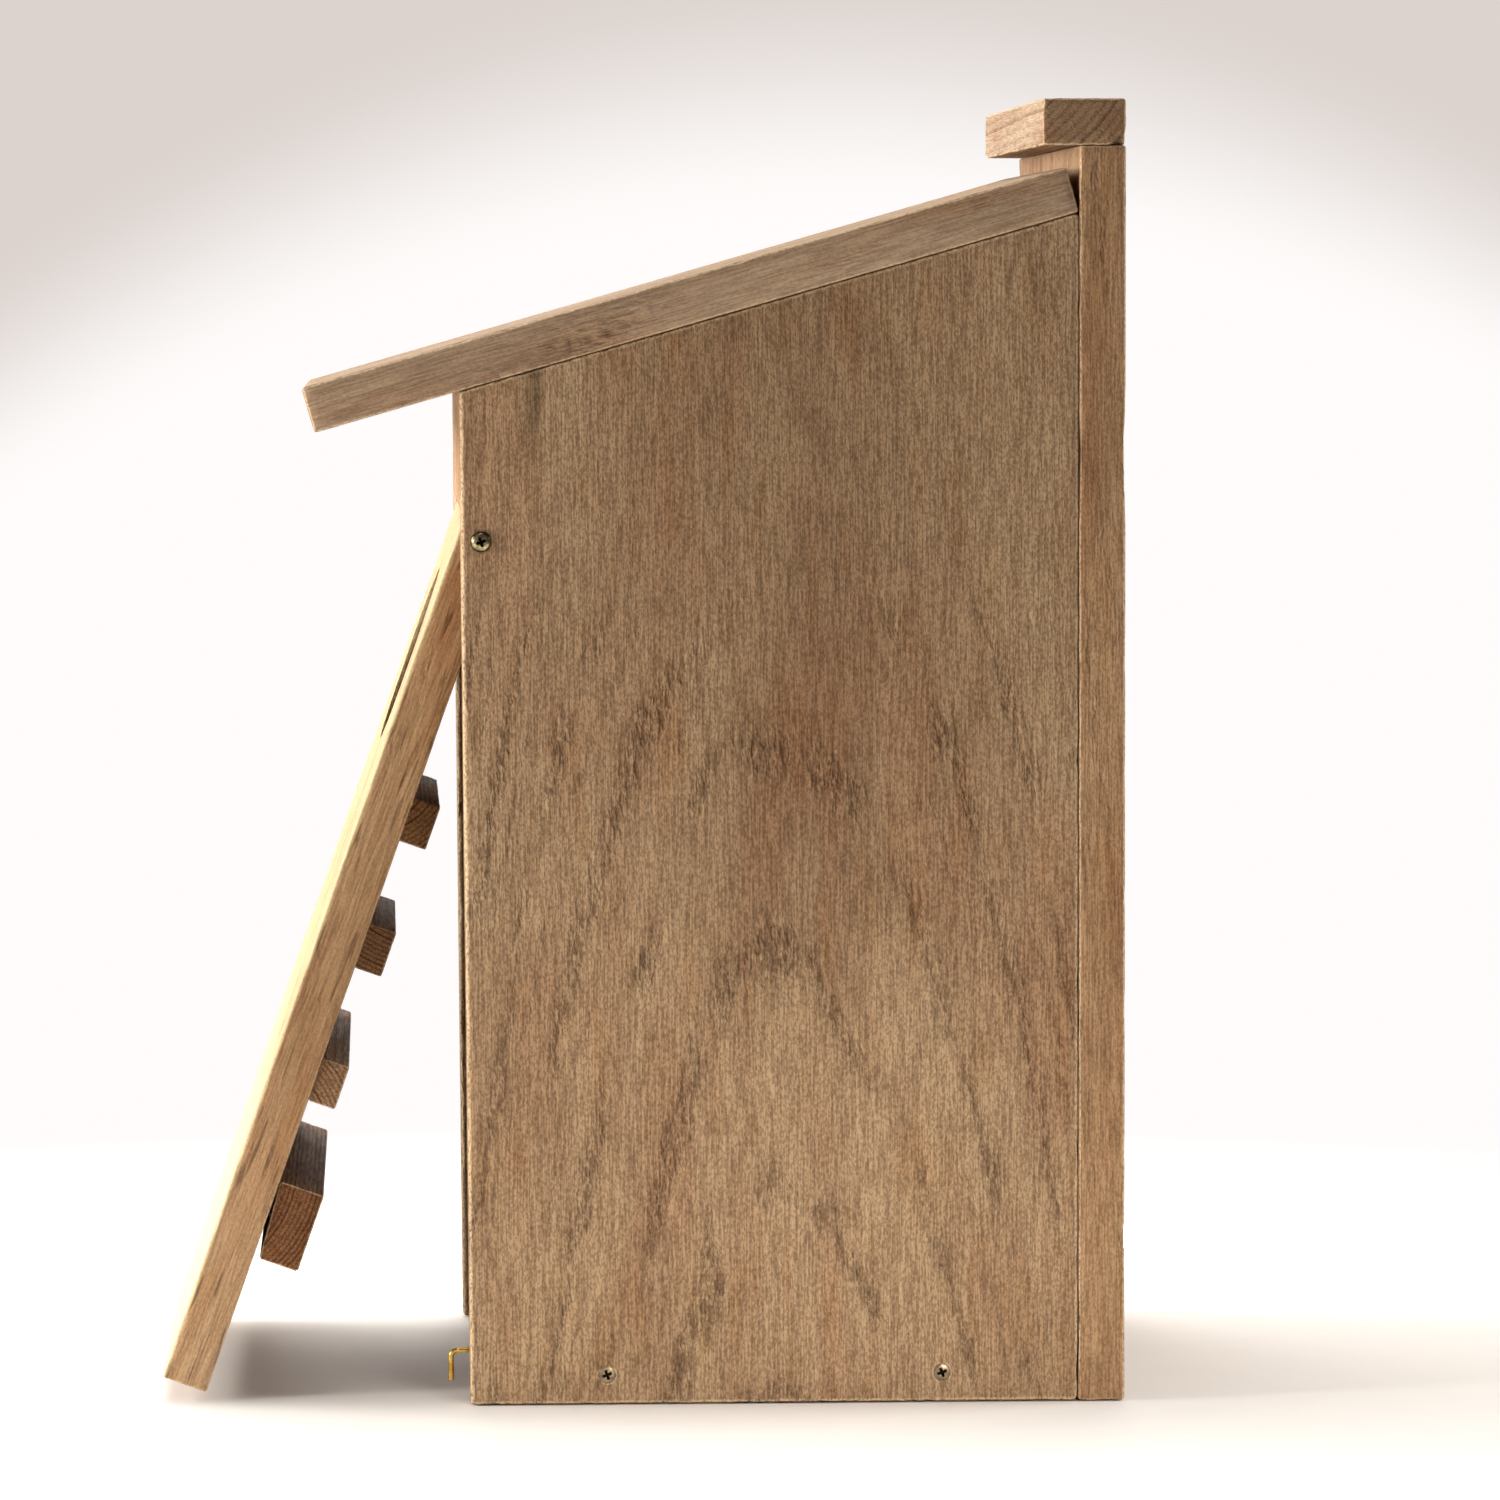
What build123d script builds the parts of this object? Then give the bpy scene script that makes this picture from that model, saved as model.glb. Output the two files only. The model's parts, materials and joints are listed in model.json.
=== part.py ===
from build123d import *
import os
from math import cos, radians, sin, tan

os.makedirs("parts", exist_ok=True)

# Cedar nest box with a swing-out front.  Millimetres, +Z up, the front faces -Y.
# The origin is the centre of the base: mid-width, mid-depth, on the underside of the floor board.

# ---- boards ---------------------------------------------------------------------------------
STOCK = 19.0                 # every board is 3/4 inch stock
WIDTH = 298.0                # outside width over the two sides
BASE_DEPTH = 267.0           # front edge of a side to the rear face of the back board, at the base
FRONT_LEAN = 3.2             # the front edge stands this much further out at its top
SIDE_REAR = 484.0            # height of a side where it meets the back board
ROOF_SLOPE = 16.0            # degrees, falling towards the front
ROOF_LENGTH = 322.0          # along the slope
BACK_HEIGHT = 511.0
CLEAT_DEPTH = 34.0
EDGE_EASE = 1.2              # rounding of the sides' outer front edges

# ---- door -----------------------------------------------------------------------------------
DOOR_OPEN = 19.5             # degrees from hanging straight down, as the box stands here
DOOR_GAP = 1.5               # between the door and each side
DOOR_LENGTH = 365.7          # pivot to bottom end
DOOR_RISE = 8.5              # pivot to top end
DOOR_TOP_ROUND = 3.0
PIVOT_SETBACK = 128.0        # pivot axis in front of the origin
PIVOT_HEIGHT = 351.2
PANEL_BOTTOM = 364.0         # underside of the fixed front panel, just clear of the door's top
HOLE_WIDTH = 102.0           # 4 by 3 inch oval entrance
HOLE_HEIGHT = 76.0
HOLE_DROP = 58.0             # pivot to the middle of the entrance
SHUT_SPACE = 3.2             # from the plumb door's inner face to the floor board, its stop

# name, half width, drop from the pivot to its top edge, height along the door, thickness
RUNGS = [
    ("rung_1", 91.0, 110.0, 19.0, 12.3),
    ("rung_2", 86.0, 165.5, 19.5, 12.5),
    ("rung_3", 123.5, 221.0, 18.5, 11.5),
    ("rung_4", 127.0, 274.0, 33.0, 19.0),
]

# ---- fasteners ------------------------------------------------------------------------------
SCREW_RADIUS = 1.75          # number 6 flat-head wood screw
SCREW_HEAD = 3.55
SCREW_ANGLE = 82.0
SCREW_LENGTH = 41.0
PIVOT_RADIUS = 2.1           # number 8 pan-head wood screw
PIVOT_HEAD = 4.3
PIVOT_HEAD_HEIGHT = 2.6
PIVOT_LENGTH = 44.0          # shank below the head
PIVOT_FIT = 0.06             # running clearance of the pivot screw in its side
HEAD_GAP = 0.3               # between the pivot screw's head and the side
NAIL_RADIUS = 0.8
NAIL_HEAD = 1.2
NAIL_HEAD_HEIGHT = 0.6
NAIL_IN_DOOR = 16.0
NAIL_INSET = 22.0            # from each end of a rung
POST_HOLE_RADIUS = 4.0       # two holes for the lag screws that hold the box on its post
POST_HOLE_SPACING = 380.0
DRAIN_RADIUS = 4.8

# ---- turning hook ---------------------------------------------------------------------------
HOOK_RADIUS = 1.15
HOOK_X = 135.0
HOOK_HEIGHT = 20.8
HOOK_REACH = 274.6           # arm in front of the back board's rear face
HOOK_ARM = 12.2              # shank axis to the arm's tip
HOOK_BEND = 2.6
HOOK_DEPTH = 19.0            # buried length
HOOK_FIT = 0.06

# ---- worked out -----------------------------------------------------------------------------
REAR = BASE_DEPTH / 2
FRONT = -BASE_DEPTH / 2
BACK_FRONT = REAR - STOCK
INSIDE = WIDTH / 2 - STOCK
SLOPE_RISE = tan(radians(ROOF_SLOPE))
DOOR_HALF = INSIDE - DOOR_GAP
SIDE_MID = WIDTH / 2 - STOCK / 2


def under_roof(y):
    """Height of the roof's underside at y."""
    return SIDE_REAR + (y - BACK_FRONT) * SLOPE_RISE


# The front edge leans out from the base to its top corner.
SIDE_FRONT_TOP = (FRONT - FRONT_LEAN, under_roof(FRONT - FRONT_LEAN))
LEAN_PER_MM = FRONT_LEAN / SIDE_FRONT_TOP[1]
FLOOR_FRONT = STOCK / 2 + SHUT_SPACE - PIVOT_SETBACK

# Local frame of the roof: x across, y up the slope, z out of its top face.
roof_plane = Plane(
    origin=(0, BACK_FRONT, SIDE_REAR),
    x_dir=(1, 0, 0),
    z_dir=(0, -sin(radians(ROOF_SLOPE)), cos(radians(ROOF_SLOPE))),
)

# Local frame of the door: origin on the pivot axis, x across, y down the door, z into the box.
door_plane = Plane(
    origin=(0, -PIVOT_SETBACK, PIVOT_HEIGHT),
    x_dir=(1, 0, 0),
    z_dir=(0, cos(radians(DOOR_OPEN)), -sin(radians(DOOR_OPEN))),
)


def facing(direction, point):
    """A place on a board's face, with its z along the given direction, out of the wood."""
    across = (0, 0, 1) if abs(direction[2]) < 0.5 else (1, 0, 0)
    return Plane(origin=point, x_dir=across, z_dir=direction).location


def roof_place(x, down_slope):
    """A place on the roof's top face, measured down the slope from the back board."""
    return roof_plane * Location((x, -down_slope, STOCK))


# Where the screws go.  The front screws of the roof catch the fixed panel's top edge.
floor_screw_y = (REAR - 211.3, REAR - 74.7)
floor_screw_z = 12.0
back_screw_z = (62.0, 244.0, 426.0)
roof_screw_drops = (45.0, 130.0, 215.0)
front_screw_drop = 248.0
front_screw_x = (-78.0, 78.0)
cleat_screw_x = (-112.0, 0.0, 112.0)
back_floor_x = (-72.0, 72.0)

side_signs = {"right": 1, "left": -1}
floor_places = {
    name: [facing((s, 0, 0), (s * WIDTH / 2, y, floor_screw_z)) for y in floor_screw_y]
    for name, s in side_signs.items()
}
back_places = {
    name: [facing((0, 1, 0), (s * SIDE_MID, REAR, z)) for z in back_screw_z]
    for name, s in side_signs.items()
}
roof_places = {
    name: [roof_place(s * SIDE_MID, drop) for drop in roof_screw_drops]
    for name, s in side_signs.items()
}
pivot_places = {
    name: facing((s, 0, 0), (s * WIDTH / 2, -PIVOT_SETBACK, PIVOT_HEIGHT))
    for name, s in side_signs.items()
}
front_places = [roof_place(x, front_screw_drop) for x in front_screw_x]
cleat_places = [facing((0, 0, 1), (x, REAR - STOCK / 2, BACK_HEIGHT + STOCK)) for x in cleat_screw_x]
back_floor_places = [facing((0, 1, 0), (x, REAR, floor_screw_z)) for x in back_floor_x]
post_places = [
    facing((0, 1, 0), (0, REAR, BACK_HEIGHT / 2 + s * POST_HOLE_SPACING / 2)) for s in (-1, 1)
]


def finish(part, label):
    """Name a finished piece and write it."""
    part.part.label = label
    export_step(part.part, f"parts/{label}.step")


def drill_screws(places):
    """Countersunk holes for wood screws, in the part being built."""
    with Locations(*places):
        CounterSinkHole(SCREW_RADIUS, SCREW_HEAD, depth=SCREW_LENGTH, counter_sink_angle=SCREW_ANGLE)


def write_screws(label, places):
    """A group of flat-head wood screws, one separate solid at each place."""
    cone = (SCREW_HEAD - SCREW_RADIUS) / tan(radians(SCREW_ANGLE / 2))
    tip = 2 * SCREW_RADIUS
    with BuildPart(mode=Mode.PRIVATE) as screw:
        with BuildSketch(Plane.XZ):
            with BuildLine():
                Polyline(
                    (0, 0),
                    (SCREW_HEAD, 0),
                    (SCREW_RADIUS, -cone),
                    (SCREW_RADIUS, tip - SCREW_LENGTH),
                    (0, -SCREW_LENGTH),
                    close=True,
                )
            make_face()
        revolve(axis=Axis.Z)
    with BuildPart() as group:
        with Locations(*places):
            add(screw.part)
    finish(group, label)


# ---- sides ----------------------------------------------------------------------------------
def write_side(name):
    s = side_signs[name]
    with BuildPart() as side:
        with BuildSketch(Plane.YZ.offset(s * INSIDE)):
            with BuildLine():
                Polyline(
                    (FRONT, 0),
                    SIDE_FRONT_TOP,
                    (BACK_FRONT, SIDE_REAR),
                    (BACK_FRONT, 0),
                    close=True,
                )
            make_face()
        extrude(amount=s * STOCK)
        outer_edges = side.faces().sort_by(Axis.X)[-1 if s > 0 else 0].edges()
        fillet(outer_edges.sort_by(Axis.Y)[0], EDGE_EASE)
        drill_screws(floor_places[name] + back_places[name] + roof_places[name])
        with Locations(pivot_places[name]):
            Hole(PIVOT_RADIUS + PIVOT_FIT, depth=STOCK)
        if name == "right":
            with Locations(facing((0, -1, 0), (HOOK_X, FRONT - 1, HOOK_HEIGHT))):
                Hole(HOOK_RADIUS + HOOK_FIT, depth=HOOK_DEPTH + 3)
    finish(side, f"side_{name}")


for name in side_signs:
    write_side(name)

# ---- floor ----------------------------------------------------------------------------------
with BuildPart() as floor_board:
    with BuildSketch(Plane.XY):
        with Locations((0, (FLOOR_FRONT + BACK_FRONT) / 2)):
            Rectangle(2 * INSIDE, BACK_FRONT - FLOOR_FRONT)
            with GridLocations(180, 150, 2, 2):
                Circle(DRAIN_RADIUS, mode=Mode.SUBTRACT)
    extrude(amount=STOCK)
    drill_screws(floor_places["right"] + floor_places["left"] + back_floor_places)
finish(floor_board, "floor_board")

# ---- back board, with the two holes for the screws that hold it on a post ---------------------
with BuildPart() as back_board:
    with BuildSketch(Plane.XZ.offset(-REAR)):
        with Locations((0, BACK_HEIGHT / 2)):
            Rectangle(WIDTH, BACK_HEIGHT)
    extrude(amount=STOCK)
    drill_screws(back_places["right"] + back_places["left"] + back_floor_places + cleat_places)
    with Locations(*post_places):
        Hole(POST_HOLE_RADIUS, depth=STOCK)
finish(back_board, "back_board")

with BuildPart() as top_cleat:
    with BuildSketch(Plane.XY.offset(BACK_HEIGHT)):
        with Locations((0, REAR - CLEAT_DEPTH / 2)):
            Rectangle(WIDTH, CLEAT_DEPTH)
    extrude(amount=STOCK)
    drill_screws(cleat_places)
finish(top_cleat, "top_cleat")

# ---- roof: flat on the sides' sloping tops, its lower rear corner against the back board -----
with BuildPart() as roof_board:
    with BuildSketch(roof_plane):
        with Locations((0, -ROOF_LENGTH / 2)):
            Rectangle(WIDTH, ROOF_LENGTH)
    extrude(amount=STOCK)
    drill_screws(roof_places["right"] + roof_places["left"] + front_places)
finish(roof_board, "roof_board")

# ---- fixed front panel: between the sides, flush with their leaning front edges ---------------
panel_front = FRONT - LEAN_PER_MM * PANEL_BOTTOM
with BuildPart() as front_panel:
    with BuildSketch(Plane.YZ.offset(-INSIDE)):
        with BuildLine():
            Polyline(
                (panel_front, PANEL_BOTTOM),
                SIDE_FRONT_TOP,
                (SIDE_FRONT_TOP[0] + STOCK, under_roof(SIDE_FRONT_TOP[0] + STOCK)),
                (panel_front + STOCK, PANEL_BOTTOM),
                close=True,
            )
        make_face()
    extrude(amount=2 * INSIDE)
    drill_screws(front_places)
finish(front_panel, "front_panel")

# ---- door: hung on its pivot axis at mid-thickness --------------------------------------------
inner_face = door_plane.offset(STOCK / 2)


def nail_places(half_width, drop, height, thickness):
    """The two nails of one rung, on its face, in the door's frame."""
    face = door_plane.offset(STOCK / 2 + thickness)
    return [face * Location((s * (half_width - NAIL_INSET), drop + height / 2)) for s in (-1, 1)]


def drill_nails(rung):
    """Holes for one rung's nails, in the part being built."""
    name, half_width, drop, height, thickness = rung
    with Locations(*nail_places(half_width, drop, height, thickness)):
        CounterBoreHole(NAIL_RADIUS, NAIL_HEAD, NAIL_HEAD_HEIGHT, depth=thickness + NAIL_IN_DOOR)


with BuildPart() as door_panel:
    with BuildSketch(door_plane.offset(-STOCK / 2)):
        with Locations((0, (DOOR_LENGTH - DOOR_RISE) / 2)):
            Rectangle(2 * DOOR_HALF, DOOR_LENGTH + DOOR_RISE)
        with Locations((0, HOLE_DROP)):
            Ellipse(HOLE_WIDTH / 2, HOLE_HEIGHT / 2, mode=Mode.SUBTRACT)
    extrude(amount=STOCK)
    top_end = door_panel.faces().sort_by(Axis.Z)[-1]
    fillet(top_end.edges().filter_by(Axis.X), DOOR_TOP_ROUND)
    for place in pivot_places.values():
        with Locations(place):
            Hole(PIVOT_RADIUS, depth=PIVOT_LENGTH)
    for rung in RUNGS:
        drill_nails(rung)
finish(door_panel, "door_panel")


def write_rung(rung):
    name, half_width, drop, height, thickness = rung
    with BuildPart() as part:
        with BuildSketch(inner_face):
            with Locations((0, drop + height / 2)):
                Rectangle(2 * half_width, height)
        extrude(amount=thickness)
        drill_nails(rung)
    finish(part, name)


for rung in RUNGS:
    write_rung(rung)

# ---- nails ----------------------------------------------------------------------------------
with BuildPart() as rung_nails:
    for _, half_width, drop, height, thickness in RUNGS:
        with Locations(*nail_places(half_width, drop, height, thickness)):
            Cylinder(NAIL_HEAD, NAIL_HEAD_HEIGHT, align=(Align.CENTER, Align.CENTER, Align.MAX))
            Cylinder(
                NAIL_RADIUS,
                thickness + NAIL_IN_DOOR,
                align=(Align.CENTER, Align.CENTER, Align.MAX),
            )
finish(rung_nails, "rung_nails")


# ---- screws ---------------------------------------------------------------------------------
def write_pivot_screw(name):
    """Pan-head screw that turns in the side and is driven into the door's edge."""
    with BuildPart(mode=Mode.PRIVATE) as screw:
        with BuildSketch(Plane.XZ):
            with BuildLine():
                Polyline(
                    (0, HEAD_GAP + PIVOT_HEAD_HEIGHT),
                    (PIVOT_HEAD * 0.55, HEAD_GAP + PIVOT_HEAD_HEIGHT),
                    (PIVOT_HEAD * 0.9, HEAD_GAP + PIVOT_HEAD_HEIGHT * 0.7),
                    (PIVOT_HEAD, HEAD_GAP + PIVOT_HEAD_HEIGHT * 0.3),
                    (PIVOT_HEAD, HEAD_GAP),
                    (PIVOT_RADIUS, HEAD_GAP),
                    (PIVOT_RADIUS, 2 * PIVOT_RADIUS - PIVOT_LENGTH),
                    (0, -PIVOT_LENGTH),
                    close=True,
                )
            make_face()
        revolve(axis=Axis.Z)
    with BuildPart() as placed:
        with Locations(pivot_places[name]):
            add(screw.part)
    finish(placed, f"pivot_screw_{name}")


for name in side_signs:
    write_pivot_screw(name)
    write_screws(f"floor_screws_{name}", floor_places[name])
    write_screws(f"back_screws_{name}", back_places[name])
    write_screws(f"roof_screws_{name}", roof_places[name])
write_screws("back_floor_screws", back_floor_places)
write_screws("roof_front_screws", front_places)
write_screws("cleat_screws", cleat_places)

# ---- turning hook: shank along Y, arm hanging down --------------------------------------------
arm_y = REAR - HOOK_REACH
with BuildPart() as lock_hook:
    with BuildLine():
        FilletPolyline(
            (HOOK_X, FRONT + HOOK_DEPTH, HOOK_HEIGHT),
            (HOOK_X, arm_y, HOOK_HEIGHT),
            (HOOK_X, arm_y, HOOK_HEIGHT - HOOK_ARM),
            radius=HOOK_BEND,
        )
    with BuildSketch(Plane(origin=(HOOK_X, FRONT + HOOK_DEPTH, HOOK_HEIGHT), z_dir=(0, -1, 0))):
        Circle(HOOK_RADIUS)
    sweep()
finish(lock_hook, "lock_hook")
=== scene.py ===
import json
import math
from functools import partial

import bmesh
import bpy
import numpy as np
from mathutils import Euler, Matrix, Vector, noise


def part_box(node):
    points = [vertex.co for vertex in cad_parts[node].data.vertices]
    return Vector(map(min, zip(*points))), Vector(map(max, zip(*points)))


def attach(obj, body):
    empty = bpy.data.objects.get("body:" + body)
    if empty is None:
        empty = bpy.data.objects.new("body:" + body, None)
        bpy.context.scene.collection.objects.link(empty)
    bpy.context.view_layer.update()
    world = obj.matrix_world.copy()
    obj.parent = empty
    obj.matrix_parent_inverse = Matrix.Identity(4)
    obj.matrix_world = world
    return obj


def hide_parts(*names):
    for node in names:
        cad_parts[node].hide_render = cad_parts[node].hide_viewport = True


# Cedar nest box with a swing-out front: the boards as they come off the saw, with their fasteners.
# Lengths in the small tables below are millimetres; Blender's own are metres, in the CAD frame.

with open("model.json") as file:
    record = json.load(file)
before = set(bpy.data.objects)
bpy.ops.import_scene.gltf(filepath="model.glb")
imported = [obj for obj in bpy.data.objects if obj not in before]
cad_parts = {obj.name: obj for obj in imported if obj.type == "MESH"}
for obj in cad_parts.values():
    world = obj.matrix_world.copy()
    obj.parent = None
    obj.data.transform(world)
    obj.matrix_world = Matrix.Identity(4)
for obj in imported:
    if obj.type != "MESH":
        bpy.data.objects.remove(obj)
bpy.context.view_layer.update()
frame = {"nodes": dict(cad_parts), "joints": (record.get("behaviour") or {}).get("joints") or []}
MM = 0.001
DOOR_OPEN = math.radians(19.5)
ROOF_SLOPE = math.radians(16)


# ---- shared helpers ---------------------------------------------------------------------------
def hex_colour(code):
    """An sRGB hex value as linear red, green, blue and a full alpha."""
    channels = [int(code[i:i + 2], 16) / 255 for i in (1, 3, 5)]
    return [c / 12.92 if c <= 0.04045 else ((c + 0.055) / 1.055) ** 2.4 for c in channels] + [1.0]


def add(tree, kind, inputs=None, **settings):
    """Adds one node. inputs gives each socket a value, another node's output, or another node, whose
    first output in use is taken."""
    new = tree.nodes.new(kind)
    for name, value in settings.items():
        setattr(new, name, value)
    for socket, value in (inputs or {}).items():
        if isinstance(value, bpy.types.Node):
            value = next(out for out in value.outputs if out.enabled)
        if isinstance(value, bpy.types.NodeSocket):
            tree.links.new(value, new.inputs[socket])
        else:
            new.inputs[socket].default_value = value
    return new


def new_material(name):
    """An empty node material with its output node."""
    material = bpy.data.materials.new(name)
    material.use_nodes = True
    material.node_tree.nodes.clear()
    return material, material.node_tree, add(material.node_tree, "ShaderNodeOutputMaterial")


# ---- rough-sawn western red cedar -------------------------------------------------------------
# A resawn softwood board: soft pale early wood between thin, hard, darker rings, short loose fibres
# all along the grain, and patches where the saw tore the rings up into scales.  The ring count and the
# torn scales come with each board's mesh, so its face, edge and end show one solid figure.
MATH, STEP, COLOURS = "ShaderNodeMath", "ShaderNodeMapRange", "ShaderNodeMix"
SMOOTH = "SMOOTHSTEP"


def sawn_cedar(name, pale, dark, figure=0.5, end=0.62, fuzz=1.0, top=None, sap=None, mineral=0.0,
               streaks=()):
    """figure: how strongly the rings show; end: how much darker the end grain is;
    fuzz: how loose the fibres of the surface are;
    top: (from z, to z, tint) of painted shade that darkens the board upwards; sap: (from y, to y, colour) of
    sapwood;
    mineral: how strongly short dark mineral streaks show;
    streaks: (x, width, lowest z, colour) of darker bands along the grain, each a real stain or a band of
    painted shade.  All lengths in mm."""
    material, tree, output = new_material(name)
    node = partial(add, tree)
    place = node("ShaderNodeTexCoord").outputs
    point = node("ShaderNodeVectorMath", {0: place["Object"], 1: (1 / MM,) * 3}, operation="MULTIPLY")
    axes = node("ShaderNodeSeparateXYZ", {0: point}).outputs
    rings, torn, rounded_edge = (node("ShaderNodeAttribute", attribute_name=told).outputs["Fac"]
                         for told in ("rings", "torn", "rounded_edge"))

    def grain(across, along, detail):
        """Noise in grains of the given width and length in mm, drawn out along the board."""
        drawn = node("ShaderNodeVectorMath", {0: point, 1: (1 / across, 1 / across, 1 / along)},
                     operation="MULTIPLY")
        return node("ShaderNodeTexNoise", {"Vector": drawn, "Scale": 1.0, "Detail": detail})

    def late_wood(count, start, full, stop):
        """The hard wood at the end of a ring: it deepens from start to full and ends by stop."""
        grown = node(MATH, {0: count}, operation="FRACT")
        deepening = node(STEP, {0: grown, 1: start, 2: full}, interpolation_type=SMOOTH)
        ending = node(STEP, {0: grown, 1: 1.0, 2: stop}, interpolation_type=SMOOTH)
        return node(MATH, {0: deepening, 1: ending}, operation="MULTIPLY")

    # Rings: each year's late wood, strong or weak, with four finer rings inside it.
    year = node("ShaderNodeTexWhiteNoise", {"W": node(MATH, {0: rings}, operation="FLOOR")},
                noise_dimensions="1D")
    strength = node(STEP, {0: year, 3: 0.35, 4: 1.0}, interpolation_type=SMOOTH)
    late = node(MATH, {0: late_wood(rings, 0.40, 0.93, 0.95), 1: strength}, operation="MULTIPLY")
    quarters = node(MATH, {0: rings, 1: 4.0}, operation="MULTIPLY")
    ringed = node(MATH, {0: late_wood(quarters, 0.3, 0.9, 0.92), 1: 0.35, 2: late},
                  operation="MULTIPLY_ADD")
    ringed = node(MATH, {0: ringed, 1: figure}, operation="MULTIPLY")

    # Marks along the grain: width and length in mm, roughness of the noise, where in the noise the mark
    # starts and is full, and how strong it is there.
    noises, marks = {}, {}
    for mark, across, along, detail, start, full, share in (
        ("drift", 24, 150, 2.0, 0.36, 0.64, 0.45),
        ("rosy", 19, 110, 1.0, 0.46, 0.66, 0.35),
        ("golden", 9, 60, 2.0, 0.52, 0.70, 0.28),
        ("strand", 3.0, 60, 2.0, 0.62, 0.36, 0.12),
        ("fibre", 0.8, 17, 3.0, 0.60, 0.38, 0.22 + 0.16 * fuzz),
        ("lint", 0.75, 1.5, 1.0, 0.60, 0.38, 0.40 * fuzz),
        ("scale", 2.0, 5.6, 1.5, 0.52, 0.40, 1.0),
        ("fleck", 2.2, 26, 0.5, 0.66, 0.72, mineral),
    ):
        noises[mark] = grain(across, along, detail)
        marks[mark] = node(STEP, {0: noises[mark], 1: start, 2: full, 4: share}, interpolation_type=SMOOTH)

    # Colour: a slow drift from pale to dark under the sapwood, and then each mark in its own tint.
    crevice = node(MATH, {0: torn, 1: marks["scale"]}, operation="MULTIPLY")
    # Painted shade: the torn crevices are darkened in the colour, as if shaded.
    shadow = node(MATH, {0: crevice, 1: 0.34}, operation="MULTIPLY")
    # Painted highlight: cream along the rounded edges, broken up by the lint noise.
    painted_edge_highlight = node(STEP, {0: noises["lint"], 1: 0.30, 2: 0.60, 3: 0.15, 4: 0.70}, interpolation_type=SMOOTH)
    painted_edge_highlight = node(MATH, {0: rounded_edge, 1: painted_edge_highlight}, operation="MULTIPLY")
    flecks = marks["fleck"]
    layers = [("MIX", marks["drift"], dark)]
    if sap:
        inner, outer, cream = sap
        edge = node(STEP, {0: axes["Y"], 1: inner, 2: outer}, interpolation_type=SMOOTH)
        clouds = node(STEP, {0: grain(7, 120, 2.0), 1: 0.40, 2: 0.62, 3: 1.0, 4: 0.72},
                      interpolation_type=SMOOTH)
        layers.append(("MIX", node(MATH, {0: edge, 1: clouds}, operation="MULTIPLY"), cream))
        heartwood = node(STEP, {0: axes["Y"], 1: outer, 2: inner}, interpolation_type=SMOOTH)
        flecks = node(MATH, {0: flecks, 1: heartwood}, operation="MULTIPLY")
    layers += [
        ("MULTIPLY", ringed, "#a87f5c"),
        ("MULTIPLY", marks["rosy"], "#f6dfd6"),
        ("MULTIPLY", marks["golden"], "#e8cfa6"),
        ("MULTIPLY", marks["strand"], "#8a6a50"),
        ("MULTIPLY", marks["fibre"], "#6f523c"),
        ("MULTIPLY", marks["lint"], "#6f523c"),
        ("MULTIPLY", shadow, "#80583a"),
        ("MIX", painted_edge_highlight, "#e6cba6"),
        ("MULTIPLY", flecks, "#5a4a46"),
    ]
    # Painted shade: the board darkens upwards, from z low to z high.
    if top:
        low, high, shade = top
        painted_top_shade = node(STEP, {0: axes["Z"], 1: low, 2: high}, interpolation_type=SMOOTH)
        layers.append(("MULTIPLY", painted_top_shade, shade))
    # Each band is a real stain, or painted shade that darkens a board's upper part.
    for x, width, lowest, stain_or_painted_shade in streaks:
        wander = node(MATH, {0: grain(30, 60, 1.0), 1: 12.0, 2: -6.0 - x}, operation="MULTIPLY_ADD")
        aside = node(MATH, {0: axes["X"], 1: wander}, operation="ADD")
        aside = node(MATH, {0: aside}, operation="ABSOLUTE")
        line = node(STEP, {0: aside, 1: width, 2: 0.2 * width, 4: 0.55}, interpolation_type=SMOOTH)
        rising = node(STEP, {0: axes["Z"], 1: lowest, 2: lowest + 60}, interpolation_type=SMOOTH)
        layers.append(("MULTIPLY", node(MATH, {0: line, 1: rising}, operation="MULTIPLY"), stain_or_painted_shade))
    colour = hex_colour(pale)
    for way, share, tint in layers:
        colour = node(COLOURS, {0: share, 6: colour, 7: hex_colour(tint)}, data_type="RGBA", blend_type=way)

    # End grain drinks in more and looks darker, with its rings plain to see.
    upright = node("ShaderNodeSeparateXYZ", {0: place["Normal"]}).outputs["Z"]
    end_grain = node(MATH, {0: upright}, operation="ABSOLUTE")
    end_grain = node(STEP, {0: end_grain, 1: 0.6, 2: 0.9, 4: end}, interpolation_type=SMOOTH)
    soaked = node(COLOURS, {0: node(MATH, {0: late, 1: 0.8}, operation="MULTIPLY"),
                            6: hex_colour("#c6a684"), 7: hex_colour("#74543a")},
                  data_type="RGBA", blend_type="MULTIPLY")
    colour = node(COLOURS, {0: end_grain, 6: colour, 7: soaked}, data_type="RGBA", blend_type="MULTIPLY")

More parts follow.
